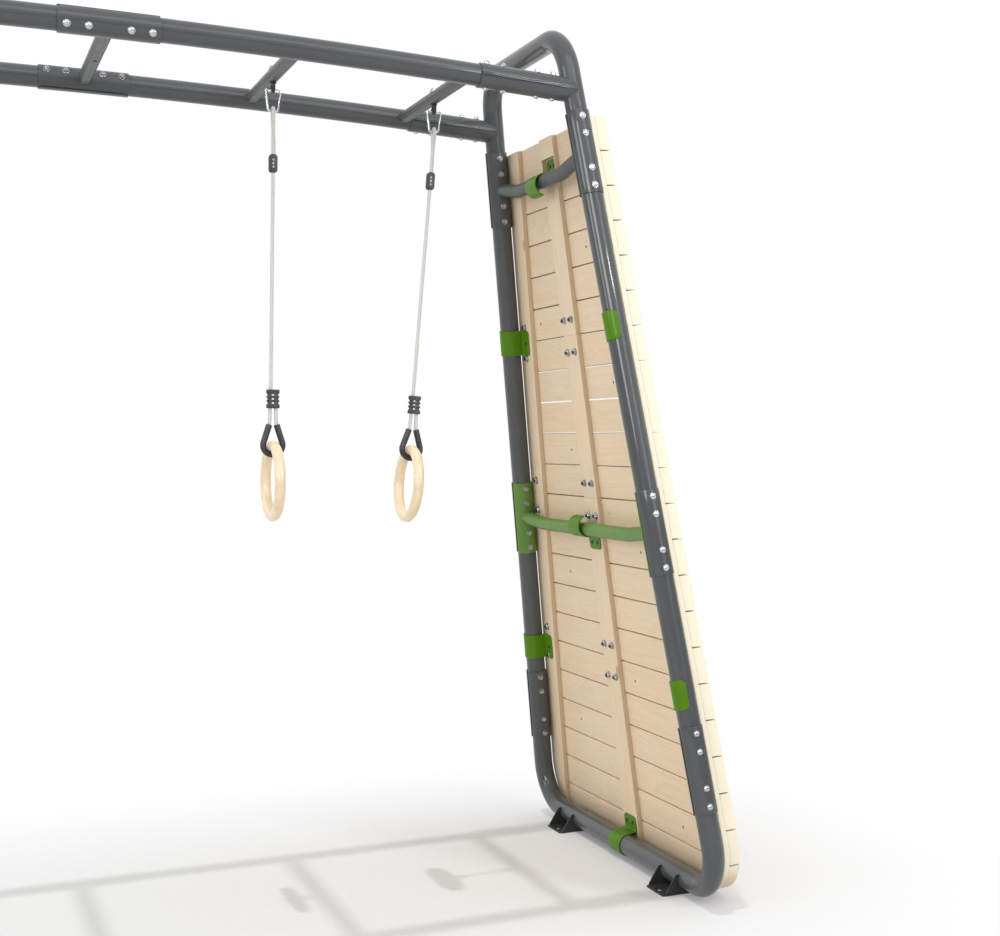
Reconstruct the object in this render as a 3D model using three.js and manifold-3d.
// Monkey bars: an arched tube ladder on two leaning end frames, with two gym rings and a plank climbing wall.
// Millimetres, +Z up, X along the ladder and Y across it. The climbing wall stands at the +X end.
import * as THREE from 'three';
import { mergeVertices } from 'three/addons/utils/BufferGeometryUtils.js';
import Module from 'manifold-3d';

const wasm = await Module();
wasm.setup();

// Driving sizes of the frame
const tubeDiameter = 60;
const tubeWall = 2;
const seatGap = 0.3;
const buttGap = 1;
const halfSpan = 1508;
const leanDegrees = 7.8;
const uprightTiltDegrees = 7.95;
const baseHalfWidth = 627;
const hoopTop = 2374;
const bottomBend = 120;
const topBend = 120;
const tubeAxisHeight = 41;
const bottomJoint = 341;
const middleJoint = 981;
const topJointDrop = 340;

// Half shells that are bolted round each tube joint
const shellLength = 235;
const shellWall = 3.5;
const shellFit = 0.4;
const weldDepth = 1;
const outerShellHalfAngle = 86;
const innerShellHalfAngle = 78;
const bracketLength = 275;
const bracketLip = 6;
const bracketLipThickness = 3.5;
const bracketSeam = 0.8;
const spliceTurnDegrees = 29;

// Crossbars of the end frames
const crossbarDiameter = 40;
const crossbarWall = 2;
const upperCrossbarDrop = 28;
const middleCrossbarDrop = 15;
const crossbarEnd = 140;
const crossbarBend = 180;

// Ladder
const archDrop = 150.2;
const archRadius = 21920;
const outerRungInset = 598;
const rungDiameter = 36;
const rungWall = 2;
const rungGroove = 1.6;
const hangerHoleDiameter = 10;

// Feet
const footCentre = 374;
const footWidth = 112;
const footReach = 77;
const footBack = 30;
const footPlate = 4;
const footPeakReach = 36;
const footPeakHeight = 56;
const footToeHeight = 8;
const footHeelHeight = 16;
const footCorner = 10;
const footHoleDiameter = 12;
const footHoleLength = 26;
const footHoleInset = 16;

// Clamps that hold the wall on the frame
const clampWidth = 80;
const clampPlate = 3;
const clampTabLength = 44;
const clampTabCorner = 16;
const clampOpenDegrees = 8;
const lowerClampHeight = 545;
const upperClampDrop = 482;

// Climbing wall
const battenFront = 34.2;
const battenThickness = 15;
const battenWidth = 98;
const plankThickness = 32;
const plankGap = 3.7;
const plankBevel = 1.2;
const wallBelowAxis = 30.6;
const wallTopDrop = 236.9;
const plankCounts = [6, 5, 5, 6];
const recessSideClearance = 6.2;
const recessEndClearance = 4;
const recessUndercut = 11;
const holdWidth = 118;
const holdHeight = 84;
const holdDepth = 52;

// Hangers, spring hooks and ring sets
const eyeRadius = 12;
const eyeWire = 4;
const eyeDrop = 15.5;
const eyeShank = 5;
const eyeNutRadius = 9;
const eyeNutHeight = 7;
const hookWire = 3;
const hookTopWidth = 42;
const hookBottomWidth = 26;
const hookHeight = 59;
const hookBend = 6;
const gateWire = 2.3;
const gateStartShare = 0.2;
const gateEndShare = 0.84;
const gateHingeGap = 0.6;
const gateNoseGap = 0.4;
const ropeDiameter = 10;
const ropeGap = 0.5;
const ringTubeDiameter = 29;
const ringOuterDiameter = 221;
const ringDrop = 912;
const hoseDiameter = 17;
const hoseRadius = 26;
const hoseEndSpread = 10;
const hoseRise = 55.5;
const upperAdjusterCentre = 143;
const upperAdjusterWidth = 28;
const upperAdjusterDepth = 17;
const upperAdjusterHeight = 56;
const lowerAdjusterCentre = 786;
const lowerAdjusterWidth = 35;
const lowerAdjusterDepth = 18;
const lowerAdjusterHeight = 51;
const lowerStrandSpacing = 15.4;
const upperStrandSpacing = 11;
const secondSetTiltDegrees = 4.2;

// Facets
const tubeSides = 12;
const boreSides = 6;
const bendSteps = 4;
const archSteps = 8;
const shellSteps = 6;
const hoseSteps = 14;
const ropeStep = 25;

const tubeRadius = tubeDiameter / 2;
const boreRadius = tubeRadius - tubeWall;
const shellInner = tubeRadius + shellFit;
const shellOuter = shellInner + shellWall;
const crossbarRadius = crossbarDiameter / 2;
const rungRadius = rungDiameter / 2;
const ropeRadius = ropeDiameter / 2;
const lean = THREE.MathUtils.degToRad(leanDegrees);
const uprightTilt = THREE.MathUtils.degToRad(uprightTiltDegrees);
const topJoint = hoopTop - topJointDrop;
const upperCrossbarHeight = topJoint - upperCrossbarDrop;
const middleCrossbarHeight = middleJoint - middleCrossbarDrop;
const archHeight = hoopTop - archDrop;
const rungSpacing = (halfSpan - outerRungInset) / 2;
const sideClampHeights = [lowerClampHeight, topJoint - upperClampDrop];
const battenBack = battenFront + battenThickness;
const plankTotal = plankCounts.reduce((sum, count) => sum + count);
const wallHeight = hoopTop - wallTopDrop + wallBelowAxis;
const plankPitch = (wallHeight + plankGap) / plankTotal;
const plankWidth = plankPitch - plankGap;
const acrossAxis = new THREE.Vector3(0, 1, 0);
const outwardAxis = new THREE.Vector3(1, 0, 0);

// Finishes
const finish = (color, roughness, metalness) => new THREE.MeshStandardMaterial({
  color, roughness, metalness, flatShading: true,
});
const darkPaint = finish(0x5b5f60, 0.32, 0.35);
const greenPaint = finish(0x4f8c1e, 0.35, 0.2);
const paleGreenPaint = finish(0x679a52, 0.35, 0.2);
const blackSteel = finish(0x33383a, 0.5, 0.3);
const brightSteel = finish(0xb9bcbe, 0.25, 0.9);
const blackPlastic = finish(0x26272a, 0.55, 0);
const ropeFibre = finish(0xcfcfcc, 0.85, 0);
const pine = finish(0xe4cfae, 0.6, 0);
const ringWood = finish(0xf3dcb6, 0.4, 0);

// Solids: each geometry becomes a closed solid for cutting and joining, and then a geometry again for its mesh.
function toSolid(geometry) {
  const bare = geometry.clone();
  bare.deleteAttribute('normal');
  bare.deleteAttribute('uv');
  const merged = mergeVertices(bare);
  const triVerts = new Uint32Array(merged.index.array);
  const vertProperties = new Float32Array(merged.attributes.position.array);
  return new wasm.Manifold(new wasm.Mesh({ numProp: 3, vertProperties, triVerts }));
}

function toGeometry(solid) {
  const mesh = solid.getMesh();
  const geometry = new THREE.BufferGeometry();
  geometry.setAttribute('position', new THREE.BufferAttribute(mesh.vertProperties, 3));
  geometry.setIndex(new THREE.BufferAttribute(mesh.triVerts, 1));
  return geometry;
}

const join = (...solids) => solids.reduce((sum, solid) => sum.add(solid));
const cut = (solid, ...cutters) => cutters.reduce((rest, cutter) => rest.subtract(cutter), solid);
const move = (geometry, x, y, z) => geometry.clone().translate(x, y, z);

function addPiece(group, name, shape, material) {
  const geometry = shape.isBufferGeometry ? shape : toGeometry(shape);
  const mesh = new THREE.Mesh(geometry, material);
  mesh.name = name;
  group.add(mesh);
  return mesh;
}

// A route is a list of stations, each a point and a direction. A flat route keeps the section's x on its side.
class Route extends THREE.Curve {
  constructor(stations, side) {
    super();
    this.stations = stations;
    this.side = side;
  }

  station(share) {
    return this.stations[Math.round(share * (this.stations.length - 1))];
  }

  getPointAt(share, target = new THREE.Vector3()) {
    return target.copy(this.station(share).point);
  }

  getTangentAt(share, target = new THREE.Vector3()) {
    return target.copy(this.station(share).direction);
  }

  computeFrenetFrames(segments, closed) {
    if (!this.side) return super.computeFrenetFrames(segments, closed);
    const tangents = this.stations.map((station) => station.direction);
    const normals = tangents.map(() => this.side.clone());
    const binormals = tangents.map((tangent) => tangent.clone().cross(this.side));
    return { tangents, normals, binormals };
  }
}

// Stations along straight runs through the corner points, with each corner rounded to the bend radius.
function filletStations(points, bend, steps = bendSteps) {
  const stations = [];
  const last = points.length - 1;
  const push = (point, direction) => stations.push({ point, direction });
  const heading = (from, to) => to.clone().sub(from).normalize();
  push(points[0].clone(), heading(points[0], points[1]));
  for (let i = 1; i < last; i += 1) {
    const before = heading(points[i - 1], points[i]);
    const after = heading(points[i], points[i + 1]);
    const turn = before.angleTo(after);
    const axis = before.clone().cross(after).normalize();
    const reach = bend * Math.tan(turn / 2);
    const start = points[i].clone().addScaledVector(before, -reach);
    const centre = start.clone().addScaledVector(axis.clone().cross(before), bend);
    for (let step = 0; step <= steps; step += 1) {
      const angle = (turn * step) / steps;
      const point = start.clone().sub(centre).applyAxisAngle(axis, angle).add(centre);
      push(point, before.clone().applyAxisAngle(axis, angle));
    }
  }
  push(points[last].clone(), heading(points[last - 1], points[last]));
  return stations;
}

function circlePoints(radius, sides) {
  const points = [];
  for (let i = 0; i < sides; i += 1) {
    const angle = (2 * Math.PI * i) / sides;
    points.push(new THREE.Vector2(radius * Math.cos(angle), radius * Math.sin(angle)));
  }
  return points;
}

function roundShape(radius, bore = 0, sides = tubeSides) {
  const shape = new THREE.Shape(circlePoints(radius, sides));
  if (bore > 0) shape.holes.push(new THREE.Path(circlePoints(bore, boreSides)));
  return shape;
}

function sweep(shape, route) {
  return new THREE.ExtrudeGeometry(shape, {
    steps: route.stations.length - 1, extrudePath: route, bevelEnabled: false,
  });
}

const prism = (shape, depth) => new THREE.ExtrudeGeometry(shape, {
  depth, bevelEnabled: false, curveSegments: 4,
});

function arcPoints(radius, fromAngle, toAngle, steps) {
  const points = [];
  for (let i = 0; i <= steps; i += 1) {
    const angle = fromAngle + ((toAngle - fromAngle) * i) / steps;
    points.push(new THREE.Vector2(radius * Math.cos(angle), radius * Math.sin(angle)));
  }
  return points;
}

// Section of a half shell. The inner facets stay outside the inner radius.
function shellShape(inner, outer, centreDegrees, halfDegrees, steps = shellSteps) {
  const centre = THREE.MathUtils.degToRad(centreDegrees);
  const half = THREE.MathUtils.degToRad(halfDegrees);
  const clearInner = inner / Math.cos(half / steps);
  const outerArc = arcPoints(outer, centre - half, centre + half, steps);
  const innerArc = arcPoints(clearInner, centre + half, centre - half, steps);
  return new THREE.Shape([...outerArc, ...innerArc]);
}

function roundedRectangle(width, height, corner) {
  const shape = new THREE.Shape();
  const x = width / 2;
  const y = height / 2;
  shape.moveTo(corner - x, -y);
  shape.lineTo(x - corner, -y);
  shape.absarc(x - corner, corner - y, corner, -Math.PI / 2, 0);
  shape.lineTo(x, y - corner);
  shape.absarc(x - corner, y - corner, corner, 0, Math.PI / 2);
  shape.lineTo(corner - x, y);
  shape.absarc(corner - x, y - corner, corner, Math.PI / 2, Math.PI);
  shape.lineTo(-x, corner - y);
  shape.absarc(corner - x, corner - y, corner, Math.PI, Math.PI * 1.5);
  return shape;
}

// End frame, in its own leaning plane: x points out of the play space, y runs across and z up the slope.
const halfWidthAt = (height) => baseHalfWidth - height * Math.tan(uprightTilt);
const onUpright = (side, height) => new THREE.Vector3(0, side * halfWidthAt(height), height);

function straightRoute(from, to, side) {
  return new Route(filletStations([from, to], 0), side);
}

function uprightRoute(side, fromHeight, toHeight) {
  return straightRoute(onUpright(side, fromHeight), onUpright(side, toHeight), outwardAxis);
}

function bottomHoopRoute(end = bottomJoint - buttGap / 2) {
  const corners = [onUpright(1, end), onUpright(1, 0), onUpright(-1, 0), onUpright(-1, end)];
  return new Route(filletStations(corners, bottomBend), outwardAxis);
}

function topHoopRoute(start = topJoint + buttGap / 2) {
  const corners = [onUpright(1, start), onUpright(1, hoopTop), onUpright(-1, hoopTop), onUpright(-1, start)];
  return new Route(filletStations(corners, topBend), outwardAxis);
}

// One half shell over the joint of an upright, on its outer or its inner side.
function jointShell(side, joint, facing, inner, halfAngle) {
  const from = joint - shellLength / 2;
  const to = joint + shellLength / 2;
  const shape = shellShape(inner, shellOuter, 90 * side * facing, halfAngle);
  return toSolid(sweep(shape, uprightRoute(side, from, to)));
}

const weldedInner = tubeRadius / 2;
const clearTube = (route, gap = seatGap) => toSolid(sweep(roundShape(tubeRadius + gap), route));
const solidTube = (route) => toSolid(sweep(roundShape(tubeRadius), route));
const tubeBore = (route) => toSolid(sweep(roundShape(boreRadius, 0, boreSides), route));
const outwardFacing = 1;
const inwardFacing = -1;
const sides = [1, -1];

function bottomHoop() {
  const shells = sides.flatMap((side) => [
    jointShell(side, bottomJoint, outwardFacing, weldedInner, outerShellHalfAngle),
    jointShell(side, bottomJoint, inwardFacing, weldedInner, innerShellHalfAngle),
  ]);
  const start = bottomJoint - buttGap / 2;
  const aboveJoint = sides.map((side) => clearTube(uprightRoute(side, start, start + shellLength)));
  const body = join(solidTube(bottomHoopRoute()), ...shells);
  return cut(body, tubeBore(bottomHoopRoute(bottomJoint)), ...aboveJoint);
}

function lowerUpright(side) {
  const route = uprightRoute(side, bottomJoint + buttGap / 2, middleJoint - buttGap / 2);
  return sweep(roundShape(tubeRadius, boreRadius), route);
}

function upperUpright(side) {
  const start = middleJoint + buttGap / 2;
  const tube = solidTube(uprightRoute(side, start, topJoint - buttGap / 2));
  const shell = jointShell(side, middleJoint, outwardFacing, weldedInner, outerShellHalfAngle);
  const bore = tubeBore(uprightRoute(side, middleJoint, topJoint));
  return cut(join(tube, shell), bore, clearTube(uprightRoute(side, start - shellLength, start)));
}

// A crossbar with the two inner half shells that it is welded to. Its coped ends and bore open on the uprights.
function crossbar(joint, height) {
  const ends = halfWidthAt(joint);
  const flat = ends - tubeRadius - crossbarEnd;
  const points = [
    new THREE.Vector3(0, ends, joint),
    new THREE.Vector3(0, flat, height),
    new THREE.Vector3(0, -flat, height),
    new THREE.Vector3(0, -ends, joint),
  ];
  const route = new Route(filletStations(points, crossbarBend, 2), outwardAxis);
  const bar = toSolid(sweep(roundShape(crossbarRadius), route));
  const bore = toSolid(sweep(roundShape(crossbarRadius - crossbarWall, 0, boreSides), route));
  const shells = sides.map((side) => jointShell(side, joint, inwardFacing, weldedInner, innerShellHalfAngle));
  const uprights = sides.map((side) => (
    clearTube(uprightRoute(side, joint - shellLength, joint + shellLength), shellFit)
  ));
  return cut(join(bar, ...shells), bore, ...uprights);
}

// Ladder, with its origin on the ground below the middle of the span.
const archAt = (x) => tubeAxisHeight + archHeight - (archRadius - Math.sqrt(archRadius ** 2 - x ** 2));
const railSlopeAt = (x) => x / Math.sqrt(archRadius ** 2 - x ** 2);

function frameMatrix(end) {
  const group = endGroup(end);
  group.updateMatrix();
  return group.matrix;
}

function endGroup(end) {
  const group = new THREE.Group();
  group.position.set(end * halfSpan, 0, tubeAxisHeight);
  group.rotation.order = 'ZYX';
  group.rotation.set(0, -lean, end > 0 ? 0 : Math.PI);
  return group;
}

// The rails meet the uprights where the arch crosses the leaning frame.
function railMeeting() {
  let height = archHeight;
  for (let pass = 0; pass < archSteps; pass += 1) {
    const x = halfSpan - height * Math.sin(lean);
    height = (archAt(x) - tubeAxisHeight) / Math.cos(lean);
  }
  return height;
}

const meetingHeight = railMeeting();
const meetingX = halfSpan - meetingHeight * Math.sin(lean);
const railHalfSpacing = halfWidthAt(meetingHeight);

function archRoute(y, fromX, toX, steps = archSteps) {
  const stations = [];
  for (let i = 0; i <= steps; i += 1) {
    const x = fromX + ((toX - fromX) * i) / steps;
    const direction = new THREE.Vector3(1, 0, -railSlopeAt(x)).normalize();
    stations.push({ point: new THREE.Vector3(x, y, archAt(x)), direction });
  }
  return new Route(stations, acrossAxis);
}

const spanOf = (end, near, far) => (end > 0 ? [near, far] : [-far, -near]);

function railRoute(side, end) {
  const railEnd = meetingX - shellOuter - tubeRadius * Math.tan(lean) - buttGap;
  return archRoute(side * railHalfSpacing, ...spanOf(end, buttGap / 2, railEnd));
}

const rail = (side, end) => sweep(roundShape(tubeRadius, boreRadius), railRoute(side, end));

// Half of the bracket round a rail's end, with a lip along each edge. The upper half is bolted to the lower one.
function bracketShape(facing, inner) {
  const seam = bracketSeam / 2;
  const lipTop = seam + bracketLipThickness;
  const edge = shellOuter + bracketLip;
  const outerStart = Math.asin(lipTop / shellOuter);
  const steps = tubeSides / 2;
  const innerStart = Math.asin(seam / inner);
  const points = [
    new THREE.Vector2(edge, seam),
    new THREE.Vector2(edge, lipTop),
    ...arcPoints(shellOuter, outerStart, Math.PI - outerStart, steps),
    new THREE.Vector2(-edge, lipTop),
    new THREE.Vector2(-edge, seam),
    ...arcPoints(inner, Math.PI - innerStart, innerStart, steps),
  ];
  return new THREE.Shape(points.map((point) => new THREE.Vector2(point.x, point.y * facing)));
}

function bracketHalf(side, end, facing) {
  const [from, to] = spanOf(end, meetingX - bracketLength, meetingX);
  const route = archRoute(side * railHalfSpacing, from, to, 2);
  return toSolid(sweep(bracketShape(facing, shellInner), route));
}

function topHoop(end) {
  const toFrame = frameMatrix(end).clone().invert().elements;
  const shells = sides.map((side) => (
    jointShell(side, topJoint, outwardFacing, weldedInner, outerShellHalfAngle)
  ));
  const brackets = sides.map((side) => bracketHalf(side, end, -1).transform(toFrame));
  const body = join(solidTube(topHoopRoute()), ...shells, ...brackets);
  const start = topJoint + buttGap / 2;
  const belowJoint = sides.map((side) => clearTube(uprightRoute(side, start - shellLength, start)));
  return cut(body, tubeBore(topHoopRoute(topJoint)), ...belowJoint);
}

function railBracket(side, end) {
  const toLadder = frameMatrix(end).elements;
  return cut(bracketHalf(side, end, 1), clearTube(topHoopRoute()).transform(toLadder));
}

// Splice in the middle of each rail: an outer half shell, and inner half shells on the middle rung. The outer
// one is turned down round the rail, so that its bolts come from below.
const spliceRoute = (side) => archRoute(side * railHalfSpacing, -shellLength / 2, shellLength / 2, 2);

function spliceShell(side, facing, inner, halfAngle) {
  const centre = (side * facing > 0 ? 0 : 180) - side * spliceTurnDegrees;
  return toSolid(sweep(shellShape(inner, shellOuter, centre, halfAngle), spliceRoute(side)));
}

function groovedShape() {
  const sectors = 24;
  const points = circlePoints(rungRadius, sectors);
  points.forEach((point, index) => {
    if (index % 4 === 1) point.multiplyScalar(1 - rungGroove / rungRadius);
  });
  return new THREE.Shape(points);
}

function rungRoute(x, reach) {
  const height = archAt(x);
  const near = new THREE.Vector3(x, -reach, height);
  return straightRoute(near, near.clone().setY(reach), outwardAxis);
}

function rungBore(x, reach) {
  return toSolid(sweep(roundShape(rungRadius - rungWall, 0, boreSides), rungRoute(x, reach)));
}

function middleRung() {
  const bar = toSolid(sweep(groovedShape(), rungRoute(0, railHalfSpacing)));
  const shells = sides.map((side) => spliceShell(side, -1, weldedInner, innerShellHalfAngle));
  const rails = sides.map((side) => (
    clearTube(archRoute(side * railHalfSpacing, -shellLength, shellLength, 4), shellFit)
  ));
  const holeRadius = hangerHoleDiameter / 2;
  const hole = new THREE.CylinderGeometry(holeRadius, holeRadius, rungDiameter * 2, 8).rotateX(Math.PI / 2);
  const cutters = [rungBore(0, railHalfSpacing), toSolid(move(hole, 0, 0, archAt(0))), ...rails];
  return cut(join(bar, ...shells), ...cutters);
}

function plainRung(x) {
  const end = Math.sign(x);
  const bar = toSolid(sweep(groovedShape(), rungRoute(x, railHalfSpacing)));
  const clear = sides.map((side) => clearTube(railRoute(side, end)));
  return cut(bar, rungBore(x, railHalfSpacing + buttGap), ...clear);
}

// Hanger eye through the middle of a rung, with its nut on top.
function hangerRung(x) {
  const height = archAt(x);
  const eyeCentre = height - rungRadius - eyeDrop;
  const shankTop = height + rungRadius + eyeNutHeight;
  const shankBottom = eyeCentre + eyeRadius;
  const shankLength = shankTop - shankBottom;
  const shank = new THREE.CylinderGeometry(eyeShank, eyeShank, shankLength, boreSides).rotateX(Math.PI / 2);
  const nut = new THREE.CylinderGeometry(eyeNutRadius, eyeNutRadius, eyeNutHeight, 6).rotateX(Math.PI / 2);
  const collar = new THREE.CylinderGeometry(eyeNutRadius, eyeNutRadius, eyeWire, boreSides);
  const eye = new THREE.TorusGeometry(eyeRadius, eyeWire, 6, 12).rotateY(Math.PI / 2);
  return join(
    plainRung(x),
    toSolid(move(shank, x, 0, (shankTop + shankBottom) / 2)),
    toSolid(move(nut, x, 0, height + rungRadius + eyeNutHeight / 2 - weldDepth)),
    toSolid(move(collar.rotateX(Math.PI / 2), x, 0, height - rungRadius - eyeWire / 2 + weldDepth)),
    toSolid(move(eye, x, 0, eyeCentre)),
  );
}

// Foot: a folded plate under the bottom tube, with two triangular cheeks that the tube rests in.
function foot() {
  const plate = new THREE.Shape();
  const side = footWidth / 2;
  plate.moveTo(footBack, -side);
  plate.lineTo(footBack, side);
  plate.lineTo(footCorner - footReach, side);
  plate.absarc(footCorner - footReach, side - footCorner, footCorner, Math.PI / 2, Math.PI);
  plate.lineTo(-footReach, footCorner - side);
  plate.absarc(footCorner - footReach, footCorner - side, footCorner, Math.PI, Math.PI * 1.5);
  const hole = new THREE.Path();
  const holeRadius = footHoleDiameter / 2;
  const holeSide = footHoleLength / 2 - holeRadius;
  hole.absarc(footHoleInset - footReach, -holeSide, holeRadius, 0, Math.PI, true);
  hole.absarc(footHoleInset - footReach, holeSide, holeRadius, Math.PI, 0, true);
  plate.holes.push(hole);
  const cheek = new THREE.Shape();
  cheek.moveTo(footCorner - footReach, 0);
  cheek.lineTo(footCorner - footReach, footToeHeight);
  cheek.lineTo(-footPeakReach, footPeakHeight);
  cheek.lineTo(0, footPeakHeight);
  cheek.lineTo(footBack, footHeelHeight);
  cheek.lineTo(footBack, 0);
  const cheekSolid = (y) => toSolid(move(prism(cheek, footPlate).rotateX(Math.PI / 2), 0, y, 0));
  const tube = roundShape(tubeRadius + seatGap);
  const tubeRoute = straightRoute(
    new THREE.Vector3(0, -footWidth, tubeAxisHeight),
    new THREE.Vector3(0, footWidth, tubeAxisHeight),
    outwardAxis.clone().applyAxisAngle(acrossAxis, -lean),
  );
  const body = join(
    toSolid(prism(plate, footPlate)),
    cheekSolid(footPlate - footWidth / 2),
    cheekSolid(footWidth / 2),
  );
  return cut(body, toSolid(sweep(tube, tubeRoute)));
}

// Clamp: a strap over the play side of a tube, with a tab that lies on the batten. All have the tube's size.
// The section is drawn with x out of the play space and y towards the tab.
function clamp(seatDepth) {
  const inner = tubeRadius + seatGap;
  const outer = inner + clampPlate;
  const openAngle = THREE.MathUtils.degToRad(-90 - clampOpenDegrees);
  const tabAngle = THREE.MathUtils.degToRad(-270);
  const tabBack = seatDepth - seatGap;
  const clearInner = inner / Math.cos(Math.abs(tabAngle - openAngle) / 2 / shellSteps);
  const strap = new THREE.Shape([
    ...arcPoints(outer, openAngle, tabAngle, shellSteps),
    new THREE.Vector2(tabBack, outer),
    new THREE.Vector2(tabBack, clearInner),
    ...arcPoints(clearInner, tabAngle, openAngle, shellSteps),
  ]);
  const tabHeight = clampTabLength + clampPlate;
  const tab = prism(roundedRectangle(clampWidth, tabHeight * 2, clampTabCorner), clampPlate);
  tab.rotateY(Math.PI / 2);
  const halfTab = toSolid(move(tab, tabBack - clampPlate, outer - clampPlate, 0));
  const below = new THREE.BoxGeometry(seatDepth, tabHeight * 2, clampWidth * 2);
  const keepAbove = toSolid(move(below, tabBack, outer - clampPlate - tabHeight, 0));
  const band = toSolid(move(prism(strap, clampWidth), 0, 0, -clampWidth / 2));
  return join(band, cut(halfTab, keepAbove));
}

// Climbing wall, in the plane of the end frame.
const wallPart = (corner, height) => new THREE.Vector2(corner * halfWidthAt(height), height);

function plankOutline(bottom) {
  const top = bottom + plankWidth;
  return new THREE.Shape([wallPart(-1, bottom), wallPart(1, bottom), wallPart(1, top), wallPart(-1, top)]);
}

// The lowest corners of the wall follow the bend of the bottom tube.
function roundedFoot() {
  const route = filletStations([
    onUpright(1, middleJoint),
    onUpright(1, -wallBelowAxis),
    onUpright(-1, -wallBelowAxis),
    onUpright(-1, middleJoint),
  ], bottomBend + tubeRadius);
  const shape = new THREE.Shape(route.map((station) => new THREE.Vector2(station.point.y, station.point.z)));
  return toSolid(standUp(prism(shape, battenBack + plankThickness * 2)));
}

// Turns a shape drawn in y and z, and extruded, so that its depth runs along x.
const standUp = (geometry) => geometry.rotateX(Math.PI / 2).rotateZ(Math.PI / 2);

function plank(bottom) {
  const geometry = new THREE.ExtrudeGeometry(plankOutline(bottom), {
    depth: plankThickness - plankBevel * 2,
    bevelThickness: plankBevel,
    bevelSize: plankBevel,
    bevelOffset: -plankBevel,
    bevelSegments: 1,
  });
  return toSolid(move(standUp(geometry), battenBack + plankBevel, 0, 0));
}

function battenPiece(outline) {
  const board = prism(new THREE.Shape(outline), battenThickness + weldDepth);
  return toSolid(move(standUp(board), battenFront, 0, 0));
}

function sideBatten(side, bottom, top) {
  const inside = (height) => side * (halfWidthAt(height) - battenWidth);
  return battenPiece([
    new THREE.Vector2(side * halfWidthAt(bottom), bottom),
    new THREE.Vector2(side * halfWidthAt(top), top),
    new THREE.Vector2(inside(top), top),
    new THREE.Vector2(inside(bottom), bottom),
  ]);
}

function centreBatten(bottom, top) {
  const half = battenWidth / 2;
  return battenPiece([
    new THREE.Vector2(-half, bottom),
    new THREE.Vector2(half, bottom),
    new THREE.Vector2(half, top),
    new THREE.Vector2(-half, top),
  ]);
}

// Climbing holds on the outer face, each as its place across as a share of the half width, and its height.
const holdShares = [
  [0.63, 0.751], [-0.44, 0.841], [-0.55, 0.658], [0.29, 0.567], [-0.56, 0.431],
  [0.52, 0.386], [-0.23, 0.248], [0.58, 0.159], [-0.55, 0.066],
];

function hold(place) {
  const height = place[1] * wallHeight - wallBelowAxis;
  const y = place[0] * halfWidthAt(height);
  const blob = new THREE.SphereGeometry(1, 10, 6).scale(holdDepth, holdWidth / 2, holdHeight / 2);
  return { height, solid: toSolid(move(blob, battenBack + plankThickness - weldDepth, y, height)) };
}

const sectionStart = (index) => {
  const planksBelow = plankCounts.slice(0, index).reduce((sum, count) => sum + count, 0);
  return planksBelow * plankPitch - wallBelowAxis;
};

function wallSection(index) {
  const count = plankCounts[index];
  const last = index === plankCounts.length - 1;
  const bottom = sectionStart(index);
  const planks = Array.from({ length: count }, (_, i) => plank(bottom + i * plankPitch));
  const lowEdge = index === 0 ? bottom : bottom - (plankGap - seatGap) / 2;
  const highEdge = bottom + count * plankPitch - (last ? plankGap : (plankGap + seatGap) / 2);
  const battens = [
    sideBatten(1, lowEdge, highEdge),
    centreBatten(lowEdge, highEdge),
    sideBatten(-1, lowEdge, highEdge),
  ];
  const inSection = holdShares.map(hold).filter((item) => item.height > lowEdge && item.height < highEdge);
  const behindFace = new THREE.BoxGeometry(battenBack + plankThickness, baseHalfWidth * 2, wallHeight * 2);
  const faceCentre = (battenBack + plankThickness) / 2 - weldDepth;
  const keepOutside = toSolid(move(behindFace, faceCentre, 0, wallHeight / 2));
  const holds = inSection.map((item) => cut(item.solid, keepOutside));
  let section = join(...planks, ...battens, ...holds);
  if (index === 0) section = section.intersect(roundedFoot());
  if (last) section = cut(section, tabRecess());
  return section;
}

// Recess in the centre batten for the tab of the uppermost clamp.
function tabRecess() {
  const strap = upperCrossbarHeight + crossbarRadius;
  const bottom = strap - recessUndercut;
  const top = strap + clampPlate + clampTabLength + recessEndClearance;
  const box = new THREE.BoxGeometry(battenThickness * 2, clampWidth + recessSideClearance * 2, top - bottom);
  return toSolid(move(box, battenFront, 0, (bottom + top) / 2));
}

// Spring hook, with its origin on the wire where the rope hangs. The gate is the leg on the wall side.
function hookPoints() {
  const top = hookTopWidth / 2;
  const bottom = hookBottomWidth / 2;
  return {
    nose: new THREE.Vector3(top, 0, hookHeight),
    topLeft: new THREE.Vector3(-top, 0, hookHeight),
    bottomLeft: new THREE.Vector3(-bottom, 0, 0),
    heel: new THREE.Vector3(bottom, 0, 0),
  };
}

const gatePoint = (share) => {
  const { heel, nose } = hookPoints();
  return heel.clone().lerp(nose, share);
};

function hookBody() {
  const { nose, topLeft, bottomLeft, heel } = hookPoints();
  const leg = nose.distanceTo(heel);
  const end = gatePoint(gateEndShare + gateNoseGap / leg);
  const points = [end, nose, topLeft, bottomLeft, heel, gatePoint(gateStartShare - gateHingeGap / leg)];
  const route = new Route(filletStations(points, hookBend, 3), acrossAxis);
  return sweep(roundShape(hookWire, 0, 8), route);
}

function hookGate() {
  const route = straightRoute(gatePoint(gateStartShare), gatePoint(gateEndShare), acrossAxis);
  return sweep(roundShape(gateWire, 0, 8), route);
}

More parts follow.
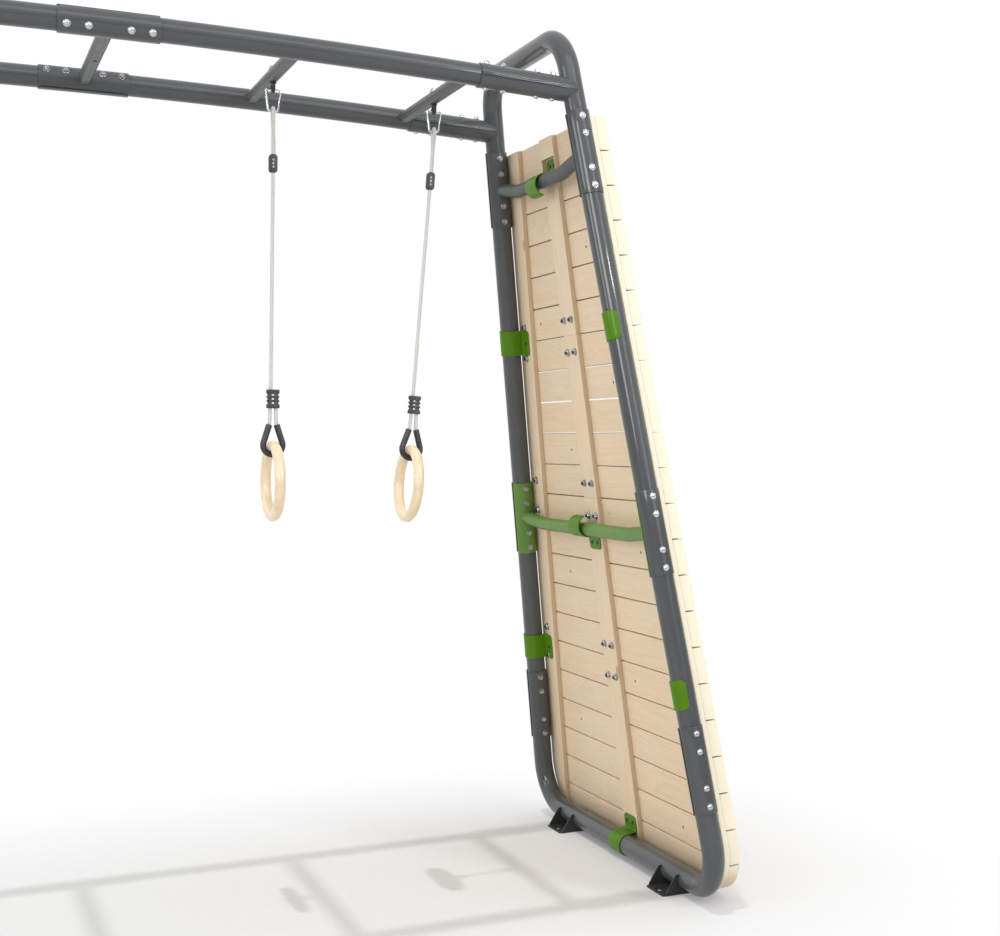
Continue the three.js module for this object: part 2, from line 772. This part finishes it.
// Hose loop round the wood of the ring, in x and z, with the rope inside it.
function hoseStations(steps = hoseSteps) {
  const centre = new THREE.Vector3(0, 0, -ringDrop);
  const end = new THREE.Vector3(-hoseEndSpread, 0, hoseRise - ringDrop);
  const toCentre = centre.clone().sub(end);
  const distance = toCentre.length();
  const spread = Math.asin(hoseRadius / distance);
  const down = toCentre.clone().normalize().applyAxisAngle(acrossAxis, spread);
  const touch = end.clone().addScaledVector(down, Math.sqrt(distance ** 2 - hoseRadius ** 2));
  const start = touch.clone().sub(centre);
  const wrap = Math.PI * 2 - 2 * Math.atan2(start.x * -1, start.z);
  const stations = [{ point: end, direction: down }];
  for (let i = 0; i <= steps; i += 1) {
    const angle = (-wrap * i) / steps;
    const point = start.clone().applyAxisAngle(acrossAxis, angle).add(centre);
    stations.push({ point, direction: down.clone().applyAxisAngle(acrossAxis, angle) });
  }
  const mirrored = new THREE.Vector3(-down.x, 0, -down.z);
  stations.push({ point: new THREE.Vector3(-end.x, 0, end.z), direction: mirrored.clone().setX(down.x) });
  return stations;
}

// Rope: one length from its tail in the upper adjuster, over the hook, down to the ring and back up.
// The points are its chosen route, in x, y and z from the place where it hangs on the hook.
const ropeUpperRoute = [
  [-5.5, 0, -168], [-5.5, 0, -115], [-5.7, 2.5, -80], [-6.3, 6.5, -42], [-6.2, 9.3, -12], [-5, 9, -1],
  [-3.2, 6.6, 6.3], [0, 0, 9.1], [3.2, -6.6, 6.3], [5, -9, -1], [6.2, -9.3, -12], [6.3, -6.5, -42],
  [5.7, -2.5, -80], [5.5, 0, -115],
  [5.4, 0, -150], [5, 0, -172], [1.6, 0, -205], [0, 0, -245], [0, 0, -690], [-2.6, 0, -722], [-7.2, 0, -752],
  [-7.7, 0, -770], [-7.7, 0, -812], [-8.2, 0, -834],
];
const ropeTailRoute = [[8.2, 0, -834], [7.7, 0, -812], [7.7, 0, -764]];

function ropePoints() {
  const toVector = (point) => new THREE.Vector3(...point);
  const loop = hoseStations().map((station) => station.point);
  const route = [...ropeUpperRoute.map(toVector), ...loop, ...ropeTailRoute.map(toVector)];
  const points = [route[0]];
  for (let i = 1; i < route.length; i += 1) {
    const parts = Math.ceil(route[i].distanceTo(route[i - 1]) / ropeStep);
    for (let part = 1; part <= parts; part += 1) {
      points.push(route[i - 1].clone().lerp(route[i], part / parts));
    }
  }
  return points;
}

function ropeStations() {
  const points = ropePoints();
  return points.map((point, i) => {
    const before = points[Math.max(i - 1, 0)];
    const after = points[Math.min(i + 1, points.length - 1)];
    const inward = point.clone().sub(before).normalize();
    const onward = after.clone().sub(point).normalize();
    return { point, direction: inward.add(onward).normalize() };
  });
}

const rope = () => sweep(roundShape(ropeRadius, 0, 8), new Route(ropeStations()));
const hose = () => {
  const shape = new THREE.Shape(circlePoints(hoseDiameter / 2, 8));
  shape.holes.push(new THREE.Path(circlePoints(ropeRadius + ropeGap * 2, boreSides)));
  return sweep(shape, new Route(hoseStations(), acrossAxis));
};

// Passage for two strands side by side, along z.
function strandPassage(spacing, centre, height) {
  const radius = ropeRadius + ropeGap;
  const cornerShare = 0.9;
  const shape = roundedRectangle(spacing + radius * 2, radius * 2, radius * cornerShare);
  return toSolid(move(prism(shape, height * 2), 0, 0, -centre - height));
}

function upperAdjuster() {
  const cornerShare = 0.385;
  const windowShare = 0.143;
  const rowShares = [0.256, 0, -0.256];
  const outline = roundedRectangle(upperAdjusterWidth, upperAdjusterHeight, upperAdjusterWidth * cornerShare);
  const windows = rowShares.map((rowShare) => {
    const hole = new THREE.Path();
    hole.absarc(0, rowShare * upperAdjusterHeight, upperAdjusterWidth * windowShare, 0, Math.PI * 2, true);
    return hole;
  });
  outline.holes.push(...windows);
  const block = prism(outline, upperAdjusterDepth).rotateX(Math.PI / 2);
  const body = toSolid(move(block, 0, upperAdjusterDepth / 2, -upperAdjusterCentre));
  return cut(body, strandPassage(upperStrandSpacing, upperAdjusterCentre, upperAdjusterHeight));
}

// Ribbed adjuster: four ribs with three grooves between them, and a small window in each groove.
function lowerAdjuster() {
  const half = lowerAdjusterWidth / 2;
  const waistShare = 0.86;
  const ribShares = [0.25, 0.75];
  const windowWidthShare = 0.24;
  const windowHeightShare = 0.12;
  const waist = half * waistShare;
  const ribs = 4;
  const pitch = lowerAdjusterHeight / ribs;
  const right = [];
  for (let rib = 0; rib < ribs; rib += 1) {
    const low = rib * pitch - lowerAdjusterHeight / 2;
    right.push(new THREE.Vector2(waist, low));
    ribShares.forEach((share) => right.push(new THREE.Vector2(half, low + pitch * share)));
  }
  right.push(new THREE.Vector2(waist, lowerAdjusterHeight / 2));
  const left = right.map((point) => new THREE.Vector2(-point.x, point.y)).reverse();
  const outline = new THREE.Shape([...right, ...left]);
  for (let groove = 1; groove < ribs; groove += 1) {
    const centre = groove * pitch - lowerAdjusterHeight / 2;
    const x = half * windowWidthShare;
    const y = pitch * windowHeightShare;
    outline.holes.push(new THREE.Path([
      new THREE.Vector2(-x, centre - y),
      new THREE.Vector2(-x, centre + y),
      new THREE.Vector2(x, centre + y),
      new THREE.Vector2(x, centre - y),
    ]));
  }
  const block = prism(outline, lowerAdjusterDepth).rotateX(Math.PI / 2);
  const body = toSolid(move(block, 0, lowerAdjusterDepth / 2, -lowerAdjusterCentre));
  return cut(body, strandPassage(lowerStrandSpacing, lowerAdjusterCentre, lowerAdjusterHeight));
}

// The ring hangs on the lowest part of its hose loop.
const ringSeat = ringDrop + hoseRadius - (hoseDiameter + ringTubeDiameter) / 2 - seatGap * 2;

function gymRing() {
  const radius = (ringOuterDiameter - ringTubeDiameter) / 2;
  const torus = new THREE.TorusGeometry(radius, ringTubeDiameter / 2, 8, 24).rotateY(Math.PI / 2);
  return move(torus, 0, 0, -ringSeat - radius);
}

// Assembly
function buildFrame(end, label) {
  const group = endGroup(end);
  addPiece(group, `${label}_bottom_hoop`, bottomHoop(), darkPaint);
  addPiece(group, `${label}_top_hoop`, topHoop(end), darkPaint);
  addPiece(group, `${label}_upper_crossbar`, crossbar(topJoint, upperCrossbarHeight), darkPaint);
  addPiece(group, `${label}_middle_crossbar`, crossbar(middleJoint, middleCrossbarHeight), paleGreenPaint);
  sides.forEach((side) => {
    const hand = side * end > 0 ? 'far' : 'near';
    addPiece(group, `${label}_lower_upright_${hand}`, lowerUpright(side), darkPaint);
    addPiece(group, `${label}_upper_upright_${hand}`, upperUpright(side), darkPaint);
  });
  return group;
}

function buildFeet(end, label) {
  const group = new THREE.Group();
  group.position.x = end * halfSpan;
  group.rotation.z = end > 0 ? 0 : Math.PI;
  sides.forEach((side) => {
    const hand = side * end > 0 ? 'far' : 'near';
    addPiece(group, `${label}_foot_${hand}`, foot(), blackSteel).position.y = side * footCentre;
  });
  return group;
}

function buildLadder() {
  const group = new THREE.Group();
  sides.forEach((side) => {
    const hand = side > 0 ? 'far' : 'near';
    addPiece(group, `rail_wall_${hand}`, rail(side, 1), darkPaint);
    addPiece(group, `rail_plain_${hand}`, rail(side, -1), darkPaint);
    addPiece(group, `splice_shell_${hand}`, spliceShell(side, 1, shellInner, outerShellHalfAngle), darkPaint);
    addPiece(group, `rail_bracket_wall_${hand}`, railBracket(side, 1), darkPaint);
    addPiece(group, `rail_bracket_plain_${hand}`, railBracket(side, -1), darkPaint);
  });
  addPiece(group, 'middle_rung', middleRung(), darkPaint);
  addPiece(group, 'rung_plain_outer', plainRung(-2 * rungSpacing), darkPaint);
  addPiece(group, 'rung_plain_inner', plainRung(-rungSpacing), darkPaint);
  addPiece(group, 'rung_wall_inner', hangerRung(rungSpacing), darkPaint);
  addPiece(group, 'rung_wall_outer', hangerRung(2 * rungSpacing), darkPaint);
  return group;
}

function buildWall() {
  const group = endGroup(1);
  const names = ['wall_section_bottom', 'wall_section_lower', 'wall_section_upper', 'wall_section_top'];
  names.forEach((name, index) => addPiece(group, name, wallSection(index), pine));
  sideClampHeights.forEach((height, index) => {
    const level = index === 0 ? 'lower' : 'upper';
    sides.forEach((side) => {
      const hand = side > 0 ? 'far' : 'near';
      const piece = addPiece(group, `clamp_${level}_${hand}`, clamp(battenFront), greenPaint);
      piece.position.copy(onUpright(side, height));
      piece.rotation.x = side > 0 ? Math.PI + uprightTilt : -uprightTilt;
    });
  });
  const centreClamps = [
    ['clamp_bottom_tube', tubeRadius, battenFront, 0, 1],
    ['clamp_middle_crossbar', crossbarRadius, battenFront, middleCrossbarHeight, -1],
    ['clamp_upper_crossbar', crossbarRadius, battenBack, upperCrossbarHeight, 1],
  ];
  centreClamps.forEach(([name, barRadius, seatDepth, barHeight, tabSide]) => {
    const piece = addPiece(group, name, clamp(seatDepth), greenPaint);
    piece.position.z = barHeight - (tubeRadius - barRadius) * tabSide;
    piece.rotation.x = (Math.PI / 2) * tabSide;
  });
  return group;
}

function buildRingSet(number, x, tiltDegrees) {
  const set = new THREE.Group();
  const eyeCentre = archAt(x) - rungRadius - eyeDrop;
  const hookTop = eyeCentre - eyeRadius + eyeWire + hookWire + seatGap;
  set.position.set(x, 0, hookTop - hookHeight);
  addPiece(set, `spring_hook_${number}`, hookBody(), brightSteel);
  addPiece(set, `hook_gate_${number}`, hookGate(), brightSteel);
  const hanging = new THREE.Group();
  hanging.rotation.y = THREE.MathUtils.degToRad(tiltDegrees);
  addPiece(hanging, `rope_${number}`, rope(), ropeFibre);
  addPiece(hanging, `upper_adjuster_${number}`, upperAdjuster(), blackPlastic);
  addPiece(hanging, `lower_adjuster_${number}`, lowerAdjuster(), blackPlastic);
  addPiece(hanging, `hose_loop_${number}`, hose(), blackPlastic);
  addPiece(hanging, `gym_ring_${number}`, gymRing(), ringWood);
  set.add(hanging);
  return set;
}

const assembly = new THREE.Group();
assembly.add(
  buildFrame(1, 'wall'),
  buildFrame(-1, 'plain'),
  buildFeet(1, 'wall'),
  buildFeet(-1, 'plain'),
  buildLadder(),
  buildWall(),
  buildRingSet(1, rungSpacing, 0),
  buildRingSet(2, 2 * rungSpacing, secondSetTiltDegrees),
);

// The origin lies on the ground, under the middle of the whole outline.
const outline = new THREE.Box3().setFromObject(assembly, true);
assembly.position.x = -(outline.min.x + outline.max.x) / 2;
const group = new THREE.Group();
group.add(assembly);

export default group;
